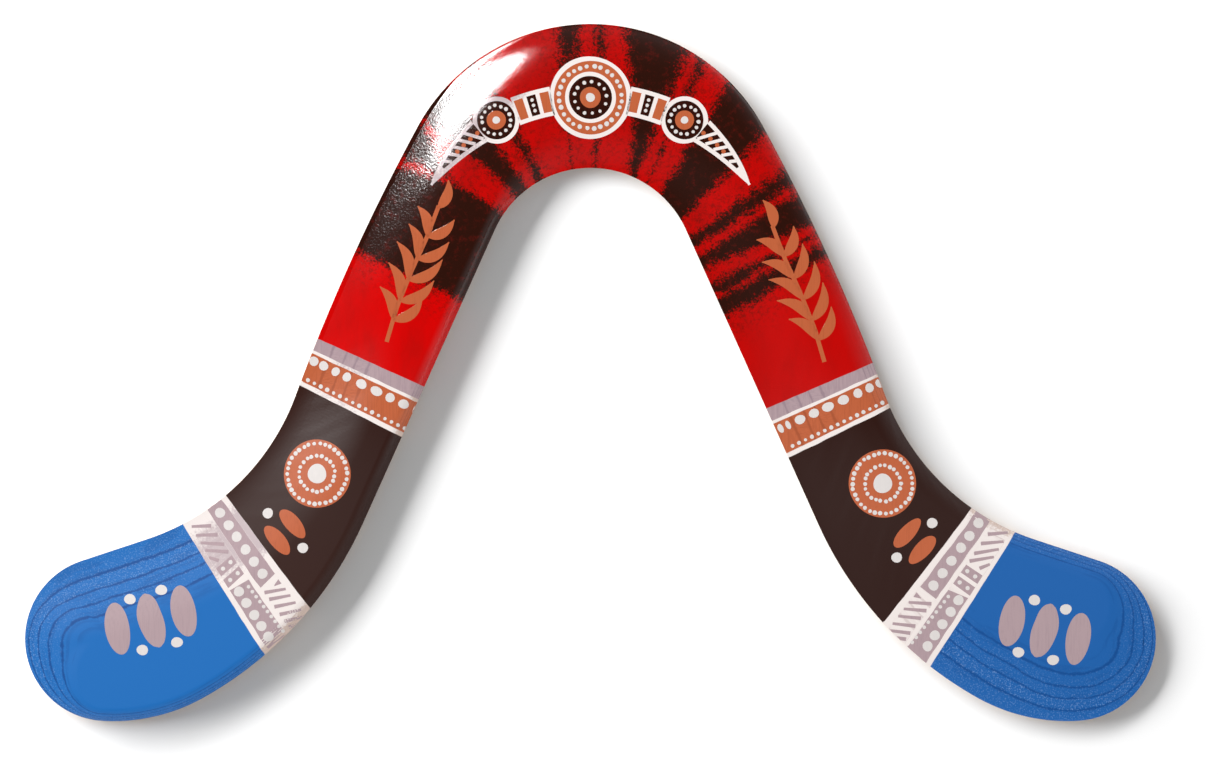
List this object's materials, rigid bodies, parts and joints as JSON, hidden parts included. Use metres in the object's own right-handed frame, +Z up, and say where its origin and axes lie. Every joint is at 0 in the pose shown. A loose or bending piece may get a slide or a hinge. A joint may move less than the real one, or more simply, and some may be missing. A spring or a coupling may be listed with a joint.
{
  "type": "returning boomerang",
  "caption": "Flat-backed returning boomerang with swept arms, broad rounded tips and tapered edges, laminated from wood veneers and painted on its upper side.",
  "frame": {"origin": "middle of the plan, on the flat underside", "axes": "+Z up out of the painted upper side, +Y towards the elbow, +X from the left tip to the right tip"},
  "size_m": [0.3996, 0.2462, 0.006],
  "materials": {
    "bare_wood": "clear-lacquered bare veneer, painted where its edge shows",
    "painted_veneer": "veneer edge under paint and gloss lacquer, blue at the tips and dark or red elsewhere",
    "painted_face": "gloss-lacquered face veneer in fields of blue, black-brown, ochre, mauve and red",
    "glue": "dark glue line under lacquer",
    "white_paint": "thick cream-white acrylic paint, lacquered",
    "ochre_paint": "ochre acrylic paint, lacquered",
    "mauve_paint": "grey-mauve acrylic paint, lacquered",
    "dark_paint": "black-brown acrylic paint, lacquered"
  },
  "bodies": {
    "root": {"back_veneer": "bare_wood", "back_glue_line": "glue", "lower_crossband": "painted_veneer", "lower_glue_line": "glue", "core_veneer": "painted_veneer", "upper_glue_line": "glue", "upper_crossband": "painted_veneer", "face_glue_line": "glue", "face_veneer": "painted_face"}
  },
  "joints": []
}
